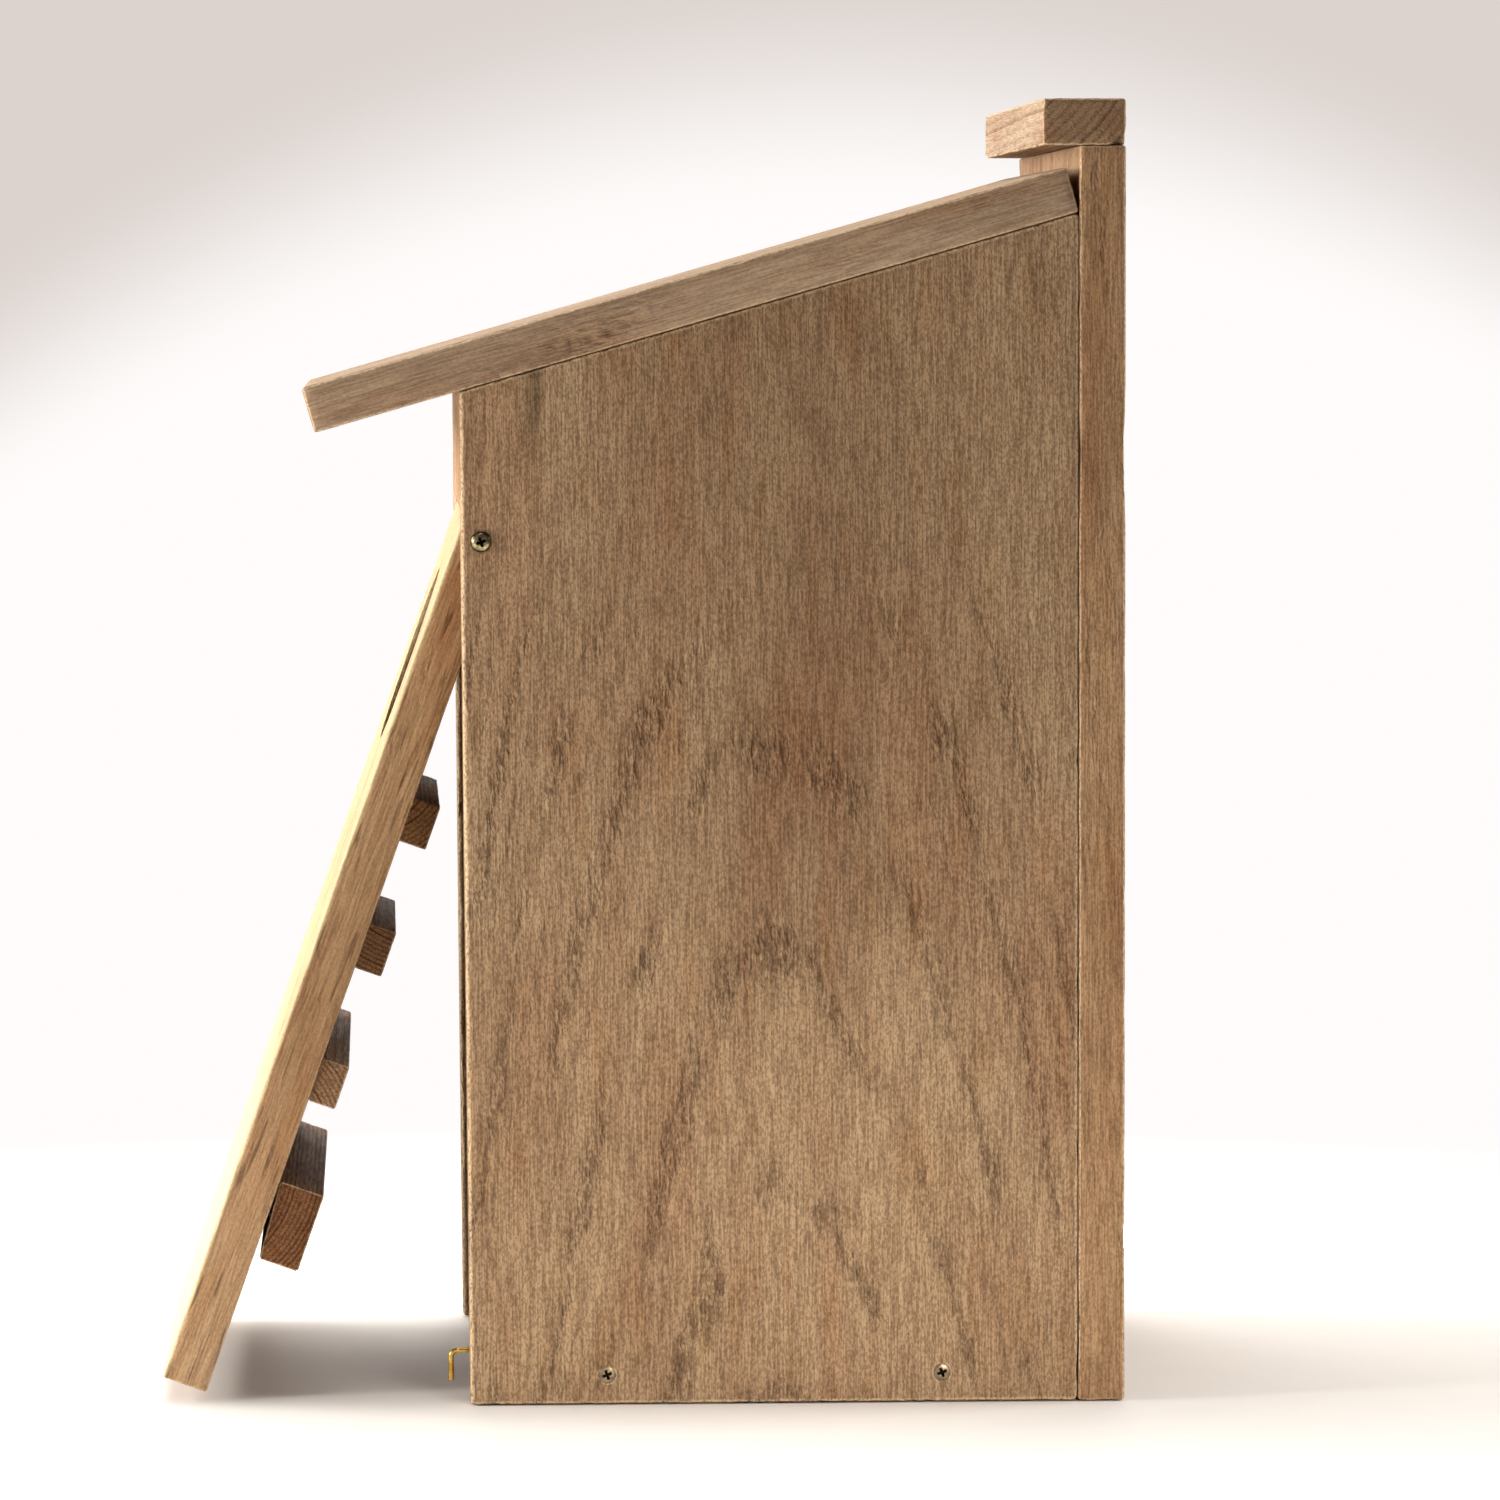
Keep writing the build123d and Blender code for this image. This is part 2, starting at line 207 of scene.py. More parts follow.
    # Relief in mm: fibres and lint, torn scales standing up or missing, and slightly raised late wood.
    height = node(MATH, {0: noises["lint"], 1: 0.24 * fuzz}, operation="MULTIPLY")
    height = node(MATH, {0: noises["fibre"], 1: 0.26, 2: height}, operation="MULTIPLY_ADD")
    lifted = node(MATH, {0: noises["scale"], 1: 0.5}, operation="SUBTRACT")
    lifted = node(MATH, {0: torn, 1: lifted}, operation="MULTIPLY")
    height = node(MATH, {0: lifted, 1: 4.0, 2: height}, operation="MULTIPLY_ADD")
    height = node(MATH, {0: late, 1: 0.15 * figure, 2: height}, operation="MULTIPLY_ADD")
    height = node(MATH, {0: crevice, 1: -0.25, 2: height}, operation="MULTIPLY_ADD")
    bump = node("ShaderNodeBump", {"Strength": 1.0, "Distance": MM, "Height": height})
    rough = node(STEP, {0: noises["fibre"], 1: 0.3, 2: 0.7, 3: 0.88, 4: 0.72}, interpolation_type=SMOOTH)
    shader = node("ShaderNodeBsdfPrincipled", {
        "Base Color": colour,
        "Roughness": rough,
        "IOR": 1.45,
        "Specular IOR Level": 0.25,
        "Normal": bump,
    })
    tree.links.new(shader.outputs[0], output.inputs[0])
    return material


# ---- plated and bright metals ------------------------------------------------------------------
SCUFF_MM = 0.25


def plated_metal(name, bright, tarnish, rough, blotch_mm):
    """Drawn, cut or plated metal: bright where it was handled, with the faint tarnish blotches and the
    fine scuffs of a bulk-packed screw, and painted shade that darkens its driver recess."""
    material, tree, output = new_material(name)
    node = partial(add, tree)
    point = node("ShaderNodeTexCoord").outputs["Object"]
    blotch = node("ShaderNodeTexNoise", {"Vector": point, "Scale": 1 / (blotch_mm * MM), "Detail": 3.0})
    scuff = node("ShaderNodeTexNoise", {"Vector": point, "Scale": 1 / (SCUFF_MM * MM), "Detail": 2.0})
    tarnished = node(STEP, {0: blotch, 1: 0.35, 2: 0.70})
    colour = node(COLOURS, {0: tarnished, 6: hex_colour(bright), 7: hex_colour(tarnish)}, data_type="RGBA")
    # Painted shade: the deeper into the driver recess, the nearer to black.
    painted_recess_shade = node("ShaderNodeAttribute", attribute_name="painted_recess_shade").outputs["Fac"]
    colour = node(COLOURS, {0: painted_recess_shade, 6: colour, 7: hex_colour("#1c150f")}, data_type="RGBA")
    gloss = node(STEP, {0: scuff, 1: 0.3, 2: 0.7, 3: rough - 0.08, 4: rough + 0.12})
    bump = node("ShaderNodeBump", {"Strength": 0.25, "Distance": 0.05 * MM, "Height": scuff})
    shader = node("ShaderNodeBsdfPrincipled", {
        "Base Color": colour,
        "Metallic": 1.0,
        "Roughness": gloss,
        "Normal": bump,
    })
    tree.links.new(shader.outputs[0], output.inputs[0])
    return material


hook_brass = plated_metal("drawn_brass_wire", "#d9b45e", "#8f6a2c", 0.24, 3.0)
pivot_brass = plated_metal("antiqued_yellow_zinc", "#c9b98e", "#6f6245", 0.26, 2.0)
screw_zinc = plated_metal("yellow_zinc_plate", "#a8957a", "#6a5a46", 0.38, 2.0)
nail_steel = plated_metal("bright_nail_steel", "#9a9994", "#5f5d58", 0.35, 1.5)


# ---- boards ------------------------------------------------------------------------------------
def axes_matrix(across, through, along):
    """A board's own axes as the columns of a rotation."""
    return Matrix((across, through, along)).transposed()


def measure(node, axes):
    """Lowest and highest corner of a CAD node along a board's own axes, in metres."""
    points = np.array([v.co for v in frame["nodes"][node].data.vertices]) @ np.array(axes)
    return Vector(points.min(0)), Vector(points.max(0))


def slab(low, high):
    """The eight corners of a straight board, low and high along each of its axes."""
    return np.array([[[(x, y, z) for z in (low[2], high[2])] for y in (low[1], high[1])]
                     for x in (low[0], high[0])])


def skin(corners, pitch, ease):
    """A board's skin as a net of small squares with its edges rounded over, from its eight corners.
    Gives the points, the way out at each point, and the faces."""
    size = [np.linalg.norm(corners.take(1, a) - corners.take(0, a), axis=-1).mean() for a in range(3)]
    stops = []
    for length, step in zip(size, pitch):
        flat = np.linspace(ease, length - ease, max(2, round((length - 2 * ease) / step) + 1))
        stops.append(np.concatenate(([0, 0.3 * ease], flat, [length - 0.3 * ease, length])))
    counts = [len(row) for row in stops]
    quads = []
    for axis in range(3):
        b, c = (axis + 1) % 3, (axis + 2) % 3
        for side in (0, counts[axis] - 1):
            net = np.zeros((counts[b], counts[c], 3), int)
            net[..., axis] = side
            net[..., b], net[..., c] = np.meshgrid(range(counts[b]), range(counts[c]), indexing="ij")
            number = (net[..., 0] * counts[1] + net[..., 1]) * counts[2] + net[..., 2]
            loop = [number[:-1, :-1], number[1:, :-1], number[1:, 1:], number[:-1, 1:]]
            quads.append(np.stack(loop if side else loop[::-1], -1).reshape(-1, 4))
    used, faces = np.unique(np.concatenate(quads), return_inverse=True)
    place = np.stack([used // (counts[1] * counts[2]), used // counts[2] % counts[1], used % counts[2]], -1)
    box = np.stack([stops[a][place[:, a]] for a in range(3)], -1)
    core = np.clip(box, ease, np.array(size) - ease)
    out = (box - core) / np.linalg.norm(box - core, axis=1)[:, None]
    u = ((core + ease * out) / size)[:, :, None]
    share = np.concatenate([1 - u, u], -1)
    points = np.einsum("ni,nj,nk,ijkc->nc", share[:, 0], share[:, 1], share[:, 2], corners)
    return points, out, faces.reshape(-1, 4)


def grain_noise(points, across, along, seed):
    """Noise between -1 and 1 at points in mm, in grains of a width and a length in mm."""
    drawn = points / (across, across, along) + (seed * 7.3, seed * 3.1, seed * 5.7)
    return np.array([noise.noise(p) for p in drawn.tolist()])


def eased(value, low, high):
    """A smooth step from 0 at low to 1 at high."""
    t = np.clip((value - low) / (high - low), 0, 1)
    return t * t * (3 - 2 * t)


def growth(points, heart, lean, ring, torn=0.5, calm=400, seed=1):
    """The ring count, how much the saw tore the wood, and its torn scales, at points in mm in a board.
    heart: the tree's centre in the board's x and y; lean: how it drifts per mm of length;
    ring: growth in mm; torn: depth of the torn scales; calm: height where the tearing has died out."""
    x, y, z = points.T
    wander = 0.35 * ring * grain_noise(points, 60, 260, seed)
    ragged = 0.16 * ring * grain_noise(points, 7, 26, seed + 1)
    rings = (np.hypot(x - lean[0] * z - heart[0], y - lean[1] * z - heart[1]) + wander + ragged) / ring
    grown = rings % 1
    aside = x - heart[0]
    width = 0.07 + 0.17 * np.exp(-((aside + 34) / 26) ** 2)
    band = eased(0.5 - np.abs(grown - 0.70), 0.44 - width, 0.5 - 0.5 * width)
    thin = rings * 2 % 1
    dashes = 0.55 * eased(thin, 0.50, 0.62) * eased(-thin, -0.80, -0.70) * eased(np.abs(aside), 22, 46)
    patch = eased(grain_noise(points, 22, 60, seed + 2), -0.30, 0.05) * eased(-z, -calm, 80 - calm)
    scale = eased(grain_noise(points, 1.7, 5.0, seed + 3), -0.15, 0.20)
    return rings, torn * np.maximum(band, dashes) * patch, scale


def sawn_board(node, rotation, wood, outline, pitch, ease, rough, rag, nicks):
    """The mesh of one board in its own axes round its middle, and the place of that middle.
    rough and rag: depth in mm of the fibres on the flats and of the chips along the corners;
    nicks: (point, radius, depth) in mm, where a piece of the corner has broken out."""
    low, high = measure(node, rotation)
    centre = (low + high) / 2
    points, out, faces = skin(outline(low - centre, high - centre), [p * MM for p in pitch], ease * MM)
    at = points / MM
    corner = np.clip((1 - abs(out).max(1)) / 0.13, 0, 1)
    fibres = 0.5 + 0.5 * grain_noise(at, 3, 26, wood["seed"])
    chips = np.clip(0.5 + 0.8 * grain_noise(at, 2.4, 9, wood["seed"] + 5), 0, 1)
    torn, scale = growth(at, **wood)[1:]
    depth = (rough * fibres + 0.75 * torn * scale) * (1 - corner) + rag * corner * chips ** 2
    for place, radius, deep in nicks:
        gone = np.clip(1 - np.linalg.norm(at - place, axis=1) / radius, 0, 1)
        depth += deep * gone * (0.6 + 0.8 * chips)
    points -= out * depth[:, None] * MM
    mesh = bpy.data.meshes.new(node)
    mesh.from_pydata(points.tolist(), [], faces.tolist())
    # The rounded corners, which the material paints with a cream highlight.
    mesh.attributes.new("rounded_edge", "FLOAT", "POINT").data.foreach_set("value", corner)
    return mesh, centre


def cedar_board(node, rotation, material, wood, body="house", outline=slab, pitch=(3, 3, 4), ease=1.1,
                rough=0.10, rag=0.5, nicks=(), drills=()):
    """One board from the saw, as large as its CAD node, riding on the node's body."""
    mesh, centre = sawn_board(node, rotation, wood, outline, pitch, ease, rough, rag, nicks)
    piece = bpy.data.objects.new(f"{node}_sawn", mesh)
    bpy.context.scene.collection.objects.link(piece)
    piece.matrix_world = Matrix.Translation(rotation @ centre) @ rotation.to_4x4()
    for drill in drills:
        bore(piece, drill)
    corners = np.empty(3 * len(piece.data.vertices))
    piece.data.vertices.foreach_get("co", corners)
    for name, values in zip(("rings", "torn"), growth(corners.reshape(-1, 3) / MM, **wood)):
        piece.data.attributes.new(name, "FLOAT", "POINT").data.foreach_set("value", values)
    dress(piece, material, node, body)


def dress(piece, material, node, body):
    """Gives a piece its material and smooth faces, and sets it in its CAD node's place."""
    piece.data.materials.clear()
    piece.data.materials.append(material)
    piece.data.polygons.foreach_set("material_index", [0] * len(piece.data.polygons))
    piece.data.polygons.foreach_set("use_smooth", [True] * len(piece.data.polygons))
    piece.data.set_sharp_from_angle(angle=math.radians(50))
    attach(piece, body)
    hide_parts(node)


def bore(piece, drill):
    """Cuts a hole through a piece with a closed mesh, which is then thrown away."""
    cut = piece.modifiers.new("hole", "BOOLEAN")
    cut.object = drill
    cut.solver = "EXACT"
    bpy.context.view_layer.update()
    graph = bpy.context.evaluated_depsgraph_get()
    result = bpy.data.meshes.new_from_object(piece.evaluated_get(graph))
    piece.modifiers.clear()
    old, piece.data = piece.data, result
    bpy.data.meshes.remove(old)
    bpy.data.objects.remove(drill)


def turned(name, profile, places, sides=40):
    """A closed solid of revolution about local Z, from (radius, height) points in mm, at each place."""
    made = bmesh.new()
    turns = [2 * math.pi * k / sides for k in range(sides)]
    for place in places:
        rows = []
        for radius, height in profile:
            rim = [(radius * MM * math.cos(a), radius * MM * math.sin(a), height * MM) for a in turns]
            rows.append([made.verts.new(place @ Vector(p)) for p in (rim if radius else rim[:1])])
        for low, high in zip(rows, rows[1:]):
            for k in range(sides):
                j = (k + 1) % sides
                corners = [low[k % len(low)], low[j % len(low)], high[j % len(high)], high[k % len(high)]]
                made.faces.new(list(dict.fromkeys(corners)))
    return closed_solid(made, name)


def closed_solid(made, name):
    """The finished solid from its points and faces, with every face turned outwards."""
    bmesh.ops.recalc_face_normals(made, faces=made.faces)
    mesh = bpy.data.meshes.new(name)
    made.to_mesh(mesh)
    made.free()
    solid = bpy.data.objects.new(name, mesh)
    bpy.context.scene.collection.objects.link(solid)
    return solid


def facing(direction, point):
    """A place whose Z points along the given direction, at a point of the CAD frame."""
    return Matrix.Translation(point) @ Vector(direction).to_track_quat("Z", "Y").to_matrix().to_4x4()


UPRIGHT = axes_matrix((1, 0, 0), (0, 1, 0), (0, 0, 1))
SIDEWAYS = axes_matrix((0, 1, 0), (-1, 0, 0), (0, 0, 1))
CROSSWISE = axes_matrix((0, 1, 0), (0, 0, 1), (1, 0, 0))
SLOPING = axes_matrix((1, 0, 0), (0, math.sin(ROOF_SLOPE), -math.cos(ROOF_SLOPE)),
                      (0, math.cos(ROOF_SLOPE), math.sin(ROOF_SLOPE)))
ON_DOOR = axes_matrix((1, 0, 0), (0, math.cos(DOOR_OPEN), -math.sin(DOOR_OPEN)),
                      (0, math.sin(DOOR_OPEN), math.cos(DOOR_OPEN)))
RUNG_WAY = axes_matrix((0, math.cos(DOOR_OPEN), -math.sin(DOOR_OPEN)),
                       (0, math.sin(DOOR_OPEN), math.cos(DOOR_OPEN)), (1, 0, 0))


def screw_places(node, direction):
    """The heads of a CAD group of screws: one place at each separate solid's outer end."""
    made = bmesh.new()
    made.from_mesh(frame["nodes"][node].data)
    bmesh.ops.remove_doubles(made, verts=made.verts[:], dist=1e-6)
    way = Vector(direction).normalized()
    heads, seen = [], set()
    for start in made.verts:
        if start in seen:
            continue
        island, queue = [], [start]
        seen.add(start)
        while queue:
            v = queue.pop()
            island.append(v.co.copy())
            for e in v.link_edges:
                other = e.other_vert(v)
                if other not in seen:
                    seen.add(other)
                    queue.append(other)
        top = max(p.dot(way) for p in island)
        rim = [p for p in island if p.dot(way) > top - 1e-5]
        heads.append(facing(way, sum(rim, Vector()) / len(rim)))
    made.free()
    return heads


ROOF_UP = (0, -math.sin(ROOF_SLOPE), math.cos(ROOF_SLOPE))
SCREWS = {
    "floor_screws_right": (1, 0, 0),
    "floor_screws_left": (-1, 0, 0),
    "back_screws_right": (0, 1, 0),
    "back_screws_left": (0, 1, 0),
    "back_floor_screws": (0, 1, 0),
    "roof_screws_right": ROOF_UP,
    "roof_screws_left": ROOF_UP,
    "roof_front_screws": ROOF_UP,
    "cleat_screws": (0, 0, 1),
}
heads = {node: screw_places(node, way) for node, way in SCREWS.items()}
pivots = {side: screw_places(f"pivot_screw_{side}", (sign, 0, 0))
          for side, sign in (("right", 1), ("left", -1))}

COUNTERSINK = [(0, 1.0), (4.1, 1.0), (4.1, -0.05), (3.95, -0.12), (1.95, -2.1), (1.95, -42.0), (0, -42.0)]


def through_hole(radius):
    """The outline of a cutter that goes right through a board, from a little above its face."""
    return [(0, 3), (radius, 3), (radius, -23), (0, -23)]


def seats(*nodes):
    """The countersunk seats of some screws, as a cutter placed where the screws are."""
    return turned("seat_cutter", COUNTERSINK, [place for node in nodes for place in heads[node]], 28)


# Sides: the front edge leans out to the top, and the top follows the roof.
SIDE_LEAN = 3.2 * MM


def side_outline(low, high):
    corners = slab(low, high)
    corners[0, :, 0, 0] += SIDE_LEAN
    corners[0, :, 1, 2] -= (high[0] - low[0]) * math.tan(ROOF_SLOPE)
    return corners


# The fixed front panel is an offcut of the door's board, with its top cut to the roof's slope.
PANEL_STOCK = 19 * MM


def panel_outline(low, high):
    corners = slab(low, high)
    lean = (high[1] - low[1]) - PANEL_STOCK
    corners[:, 0, 0, 1] += lean
    corners[:, 1, 1, 1] -= lean
    corners[:, 0, 1, 2] -= PANEL_STOCK * math.tan(ROOF_SLOPE)
    return corners


# The lowest rung has cupped away from the door along its lower edge.
CUP = 2.4 * MM


def cupped_outline(low, high):
    corners = slab(low, high)
    corners[0, 0, :, 0] += CUP
    return corners


# The narrow olive band is a mineral stain; the wide pale band down the middle is painted shade, darkening
# each side from a little below half height upwards.
side_cedar = sawn_cedar("rough_sawn_cedar_side", "#bb9e7b", "#a17f60", figure=0.10,
                        streaks=[(-94, 5, 120, "#5f5a3c"), (12, 75, -90, "#dad2cd")])
side_wood = {
    "right": dict(heart=(8, 152.7), lean=(0, 0.136), ring=12, torn=1.0, calm=110, seed=2),
    "left": dict(heart=(30, -150), lean=(0.02, -0.12), ring=11, torn=0.9, calm=200, seed=11),
}
for side, wood in side_wood.items():
    cedar_board(f"side_{side}", SIDEWAYS, side_cedar, wood, outline=side_outline,
                pitch=(1.25, 4, 2.2), ease=1.9, rag=0.7, drills=[seats(f"floor_screws_{side}")])

back_cedar = sawn_cedar("rough_sawn_cedar_back", "#be9b75", "#a07b59", figure=0.2, fuzz=0.8)
POST_HOLE_RADIUS, POST_HOLE_HEIGHTS = 4, (65.5, 445.5)
back_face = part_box("back_board")[1].y
post_holes = turned("post_hole_cutter", through_hole(POST_HOLE_RADIUS),
                    [facing((0, 1, 0), (0, back_face, z * MM)) for z in POST_HOLE_HEIGHTS], 32)
cedar_board("back_board", UPRIGHT, back_cedar,
            dict(heart=(60, 210), lean=(0.0, -0.10), ring=10, torn=0.6, seed=4),
            pitch=(2.5, 3, 3), rag=0.9, nicks=[((149, 9.5, -188), 5, 2.2), ((149, 9.5, 130), 28, 0.9)],
            drills=[seats("back_screws_right", "back_screws_left", "back_floor_screws"), post_holes])

roof_cedar = sawn_cedar("rough_sawn_cedar_roof", "#bfa589", "#9f876c", figure=0.30, fuzz=0.5)
cedar_board("roof_board", SLOPING, roof_cedar,
            dict(heart=(-300, 60), lean=(0.02, 0.0), ring=8, torn=0.5, seed=5), pitch=(2.5, 3, 3), rag=0.8,
            drills=[seats("roof_screws_right", "roof_screws_left", "roof_front_screws")])

cleat_cedar = sawn_cedar("sawn_cedar_cleat", "#bea689", "#a2876a", figure=0.6, end=0.50, fuzz=0.5)
cedar_board("top_cleat", CROSSWISE, cleat_cedar,
            dict(heart=(-60, 55), lean=(0.0, 0.01), ring=3.4, torn=0.3, seed=6), pitch=(1.6, 1.6, 3),
            rag=1.0, nicks=[((17, -9.5, 149), 7, 3.0)], drills=[seats("cleat_screws")])

floor_cedar = sawn_cedar("sawn_cedar_floor", "#bb9874", "#9d7855", figure=0.3)
floor_low, floor_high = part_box("floor_board")
floor_mid = (floor_low + floor_high) / 2
DRAIN_RADIUS, DRAINS_ASIDE, DRAINS_AHEAD = 4.8, 90, 75
drains = turned("drain_cutter", through_hole(DRAIN_RADIUS),
                [facing((0, 0, 1), (x * MM, floor_mid.y + y * MM, floor_high.z))
                 for x in (-DRAINS_ASIDE, DRAINS_ASIDE) for y in (-DRAINS_AHEAD, DRAINS_AHEAD)], 32)
cedar_board("floor_board", CROSSWISE, floor_cedar,
            dict(heart=(20, 160), lean=(0.0, 0.1), ring=9, seed=7), pitch=(4, 4, 5), drills=[drains])

front_cedar = sawn_cedar("cedar_front_panel", "#cfab84", "#b28a64", figure=0.3)
cedar_board("front_panel", UPRIGHT, front_cedar,
            dict(heart=(-40, 190), lean=(0.0, 0.1), ring=9, seed=8), outline=panel_outline, ease=0.6, rag=0.3)

# Door: smoother on its outer face, with a sawn oval entrance.
# The door's colour is darkened upwards from near its foot by painted shade (top).
door_cedar = sawn_cedar("cedar_door", "#d2b089", "#b6916a", figure=0.26, fuzz=0.5, top=(-160, 0, "#dcd5cb"),
                        sap=(-7.6, -9.0, "#fff3cc"), mineral=0.5)
pivot = Vector(next(j for j in frame["joints"] if j["name"] == "door_swing")["pos_m"])
HOLE_DROP, HOLE_WIDE, HOLE_TALL = 58, 102, 76
hole_centre = pivot - ON_DOOR @ Vector((0, 0, HOLE_DROP * MM))
entrance = turned("entrance_cutter", [(0, 15), (1000, 15), (1000, -15), (0, -15)], [Matrix.Identity(4)], 96)
entrance.data.transform(Matrix.Diagonal((HOLE_WIDE / 2000, HOLE_TALL / 2000, 1, 1)))
entrance.data.transform(Matrix.Translation(hole_centre) @ facing(ON_DOOR.col[1], (0, 0, 0)))
cedar_board("door_panel", ON_DOOR, door_cedar,
            dict(heart=(70, -130), lean=(0.01, 0.08), ring=7, torn=0.35, seed=9), body="door",
            pitch=(2.5, 3, 3), ease=0.9, rag=0.4, drills=[entrance])

# The rungs are offcuts of several boards: their number, the tree's centre in each, and their colours, set
# rung by rung as painted light and shade.
RUNGS = [
    (1, (-34, 22), "#e6c08c", "#c79c68"),
    (2, (6, 44), "#c6a47e", "#a88562"),
    (3, (-28, -34), "#d9bd9b", "#bb9c7c"),
    (4, (-52, 10), "#a8805a", "#86623f"),
]
for number, heart, pale, dark in RUNGS:
    rung_cedar = sawn_cedar(f"sawn_cedar_rung_{number}", pale, dark, figure=1.0, end=0.60)
    cedar_board(f"rung_{number}", RUNG_WAY, rung_cedar,
                dict(heart=heart, lean=(0.0, 0.0), ring=1.9, torn=0.3, seed=20 + number),
                body="door", outline=cupped_outline if number == 4 else slab, pitch=(1.5, 1.5, 4), ease=0.8,
                rag=0.7)

# ---- fasteners -----------------------------------------------------------------------------------
FLAT_HEAD = [(0, -0.1), (3.3, -0.1), (3.5, -0.25), (1.75, -2.05), (1.55, -6), (1.55, -38), (0, -41)]
PAN_HEAD = [(0, 0), (1.6, -0.05), (2.9, -0.35), (3.8, -0.95), (4.2, -1.7), (4.3, -2.3), (4.2, -2.6),
            (2.1, -2.6), (2.05, -4), (2.05, -43), (0, -46)]


RECESS_TURN = 0.35       # how far round each screw stopped, in radians


def cross_recess(places, size, depth):
    """The tapered four-winged driver recess, as a cutter at each screw head."""
    wing, waist = size / 2 * MM, 0.15 * size * MM
    quarter = [(wing, -waist), (wing, waist), (waist, waist)]
    outline = [Matrix.Rotation(RECESS_TURN + turn * math.pi / 2, 2) @ Vector(p)
               for turn in range(4) for p in quarter]
    made = bmesh.new()
    for place in places:
        mouth = [made.verts.new(place @ Vector((*p, 0.5 * MM))) for p in outline]
        foot = [made.verts.new(place @ Vector((*(0.6 * p), -depth * MM))) for p in outline]
        made.faces.new(mouth)
        made.faces.new(foot)
        for i in range(len(outline)):
            j = (i + 1) % len(outline)
            made.faces.new((mouth[j], mouth[i], foot[i], foot[j]))
    return closed_solid(made, "recess_cutter")


SCREW_REACH = 50 * MM    # how far from its head a point can be and still belong to a screw


def screws(node, profile, places, material, body, recess):
    """The real screws of one CAD group, each with its driver recess."""
    piece = turned(f"{node}_turned", profile, places, 36)
    bore(piece, cross_recess(places, *recess))
    depths = [min(-(place.inverted() @ v.co).z for place in places
                  if (place.translation - v.co).length < SCREW_REACH)
              for v in piece.data.vertices]
    # How far below the head each point lies, for the painted shade in the recess.
    painted_recess_shade = eased(np.array(depths), 0.35 * MM, 1.2 * MM)
    piece.data.attributes.new("painted_recess_shade", "FLOAT", "POINT").data.foreach_set("value", painted_recess_shade)
    dress(piece, material, node, body)


for node, places in heads.items():
    screws(node, FLAT_HEAD, places, screw_zinc, "house", (4.4, 2.4))
for side, places in pivots.items():
    screws(f"pivot_screw_{side}", PAN_HEAD, places, pivot_brass, "door", (4.6, 2.6))

for node, metal in {"lock_hook": hook_brass, "rung_nails": nail_steel}.items():
    for material_slot in frame["nodes"][node].material_slots:
        material_slot.material = metal

# ---- studio --------------------------------------------------------------------------------------
CAMERA_PLACE = (3.2898, -0.1687, 0.4490)
CAMERA_TURN = (86.679, 0.080, 87.271)
camera = bpy.data.objects.new("camera", bpy.data.cameras.new("camera"))
camera.data.sensor_width = 36
camera.data.lens = 186.46
camera.location = CAMERA_PLACE
camera.rotation_euler = Euler([math.radians(a) for a in CAMERA_TURN])
camera.data.clip_end = 100
bpy.context.scene.collection.objects.link(camera)
bpy.context.scene.camera = camera
bpy.context.scene.view_settings.view_transform = "Standard"


def soft_light(name, place, aim, size, watts, colour, spread=180):
    """A square soft box that faces a point, with its beam held to spread degrees."""
    lamp = bpy.data.lights.new(name, "AREA")
    lamp.shape = "SQUARE"
    lamp.size = size
    lamp.energy = watts
    lamp.spread = math.radians(spread)
    lamp.color = hex_colour(colour)[:3]
    box = bpy.data.objects.new(name, lamp)
    box.location = place
    box.rotation_euler = (Vector(aim) - Vector(place)).to_track_quat("-Z", "Y").to_euler()
    box.visible_camera = False
    bpy.context.scene.collection.objects.link(box)


# Seen with the front to the left: a large soft key beyond the front, a small box that grazes the near
# side and raises its fibres, a soft overhead, and a fill behind the back board.  Weak narrow lights
# brighten the side towards its foot, the rungs, and the gap under the open door.
middle = (0, 0, 0.25)
soft_light("key_left", (-0.45, -2.2, 1.0), middle, 1.4, 60, "#fffcf6")
soft_light("grazing", (0.72, -2.0, 0.55), middle, 0.35, 27, "#fff8ee")
soft_light("top_soft", (-0.9, -0.2, 1.9), middle, 1.4, 32, "#fffcf6")
soft_light("floor_glow", (0.85, -0.1, 2.0), (0.85, -0.1, 0), 0.7, 1.5, "#fffaf4", spread=40)
soft_light("low_front", (1.1, 0.25, 0.30), (0.149, 0.01, -0.06), 0.3, 0.34, "#fffaf4", spread=40)
soft_light("through_gap", (-1.0, -0.22, 0.45), (0.05, -0.2, 0), 0.5, 4.5, "#fffaf4")
soft_light("back_fill", (-0.3, 2.2, 1.2), middle, 1.2, 34, "#fffaf4")
soft_light("low_left", (0.9, -0.75, 0.25), (0, -0.2, 0.05), 0.6, 0.5, "#fffaf4")

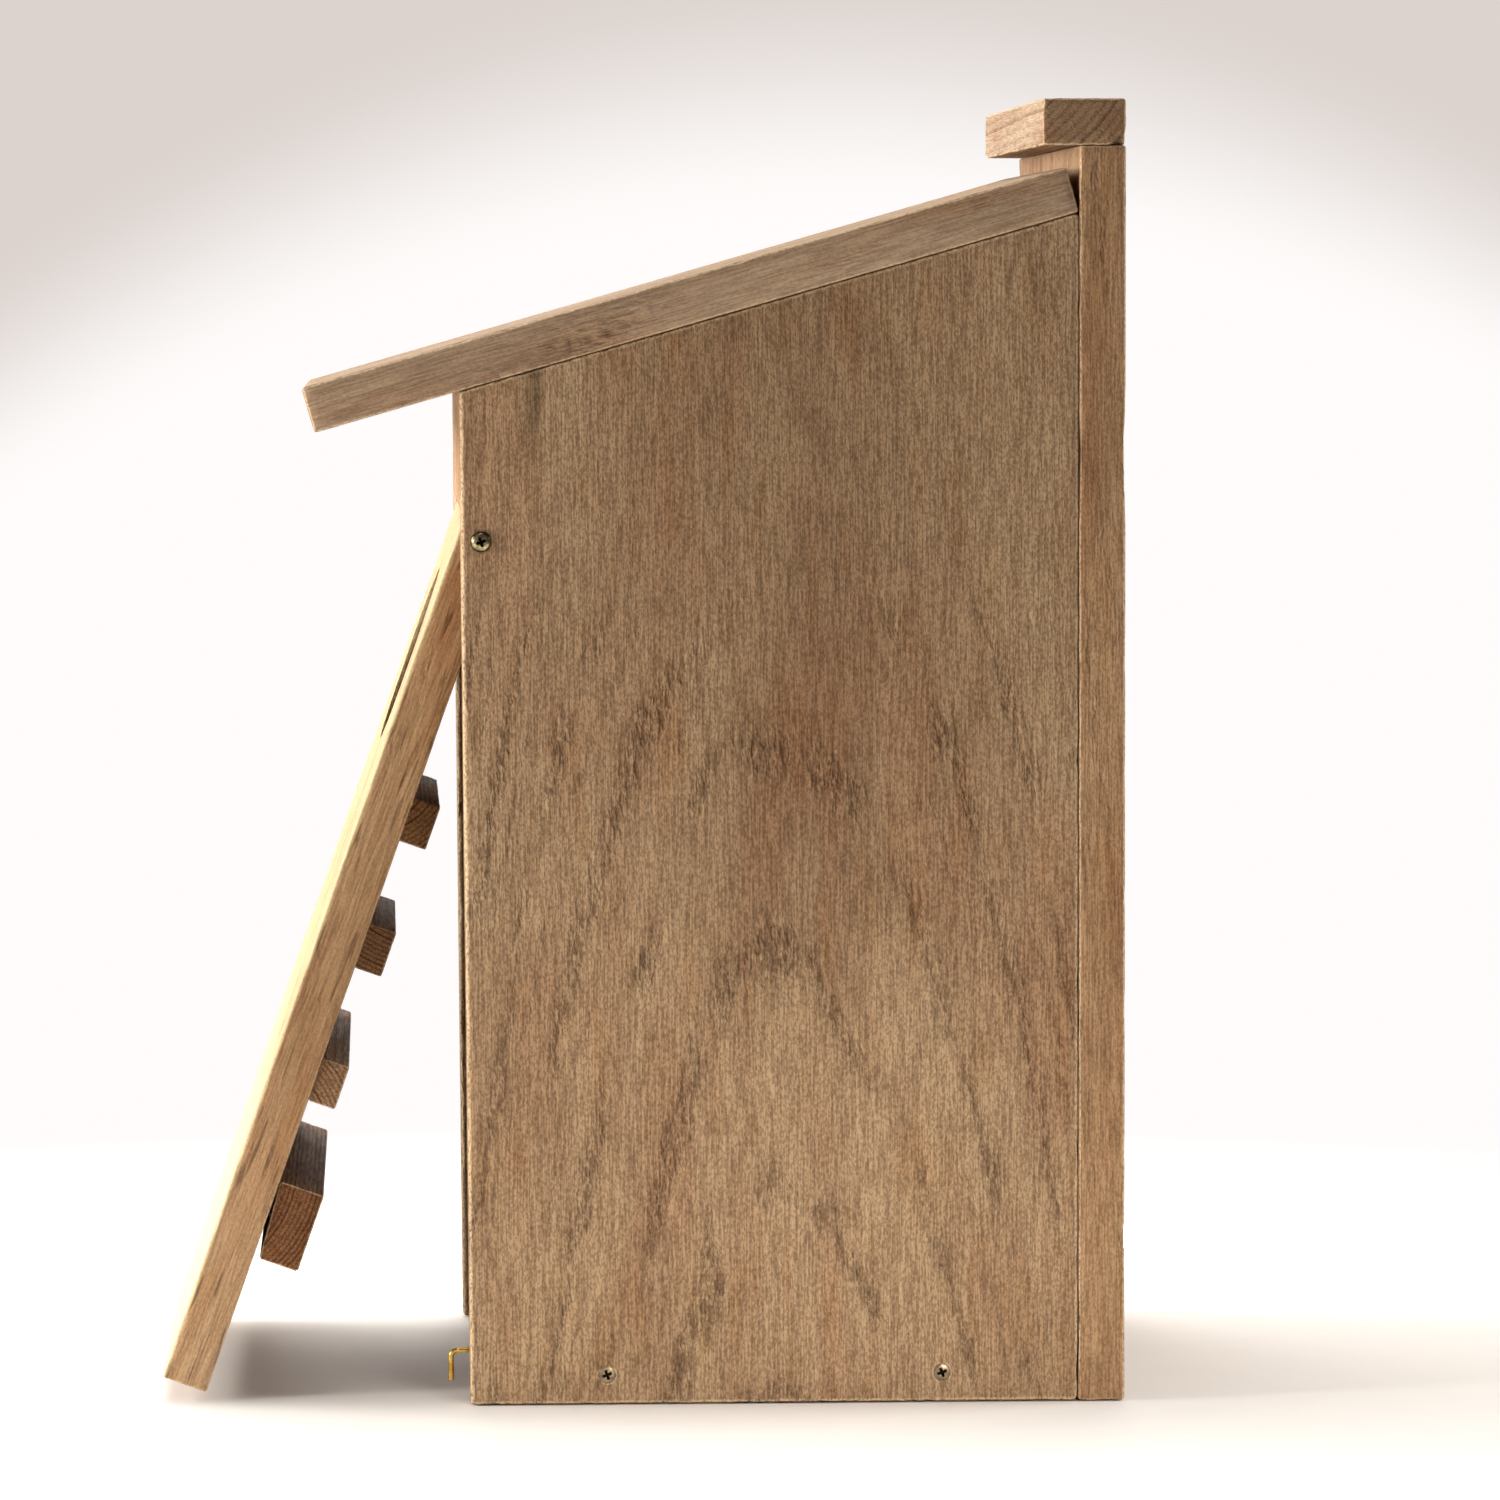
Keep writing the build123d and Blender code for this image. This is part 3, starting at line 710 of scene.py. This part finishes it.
# The paper floor fades into the white surround well away from the box.
floor_material, tree, output = new_material("studio_paper")
place = add(tree, "ShaderNodeTexCoord").outputs["Object"]
paper = add(tree, "ShaderNodeTexNoise", {"Vector": place, "Scale": 40.0})
tone = add(tree, COLOURS, {0: paper, 6: hex_colour("#f7f5f3"), 7: hex_colour("#f3f1ef")}, data_type="RGBA")
matt = add(tree, "ShaderNodeBsdfPrincipled", {"Base Color": tone, "Roughness": 0.9})
reach = add(tree, "ShaderNodeVectorMath", {0: place}, operation="LENGTH")
fade = add(tree, STEP, {0: reach, 1: 0.3, 2: 0.95}, interpolation_type=SMOOTH)
clear = add(tree, "ShaderNodeBsdfTransparent")
seen = add(tree, "ShaderNodeLightPath").outputs["Is Camera Ray"]
share = add(tree, MATH, {0: fade, 1: seen}, operation="MULTIPLY")
faded = add(tree, "ShaderNodeMixShader", {0: share, 1: matt, 2: clear})
tree.links.new(faded.outputs[0], output.inputs[0])
sheet = bmesh.new()
bmesh.ops.create_circle(sheet, cap_ends=True, radius=2.0, segments=96)
sheet_mesh = bpy.data.meshes.new("studio_floor")
sheet.to_mesh(sheet_mesh)
sheet.free()
studio_floor = bpy.data.objects.new("studio_floor", sheet_mesh)
studio_floor.location = (0, 0, -0.0004)
studio_floor.data.materials.append(floor_material)
bpy.context.scene.collection.objects.link(studio_floor)

# The surround: white round a soft spot, falling off to a warm grey above it.
world = bpy.data.worlds.new("studio")
bpy.context.scene.world = world
world.use_nodes = True
world.node_tree.nodes.clear()
sky = world.node_tree
way = add(sky, "ShaderNodeSeparateXYZ", {0: add(sky, "ShaderNodeTexCoord").outputs["Generated"]}).outputs
aside = add(sky, MATH, {0: way["Y"], 1: 0.06}, operation="SUBTRACT")
falling = add(sky, MATH, {0: aside, 1: aside}, operation="MULTIPLY")
rim = add(sky, MATH, {0: falling, 1: -3.17, 2: 0.026}, operation="MULTIPLY_ADD")
rim = add(sky, MATH, {0: rim, 1: -0.02}, operation="MAXIMUM")
above = add(sky, MATH, {0: way["Z"], 1: rim}, operation="SUBTRACT")
dusk = add(sky, STEP, {0: above, 1: -0.016, 2: 0.018}, interpolation_type=SMOOTH)
backdrop = add(sky, COLOURS, {0: dusk, 6: hex_colour("#fffcfb"), 7: hex_colour("#dcd3ce")},
               data_type="RGBA")
seen = add(sky, "ShaderNodeBackground", {"Color": backdrop, "Strength": 1.0})
fill = add(sky, "ShaderNodeBackground", {"Color": hex_colour("#fff8f2"), "Strength": 0.15})
mixed = add(sky, "ShaderNodeMixShader", {0: add(sky, "ShaderNodeLightPath").outputs["Is Camera Ray"],
                                         1: fill, 2: seen})
sky.links.new(mixed.outputs[0], add(sky, "ShaderNodeOutputWorld").inputs[0])
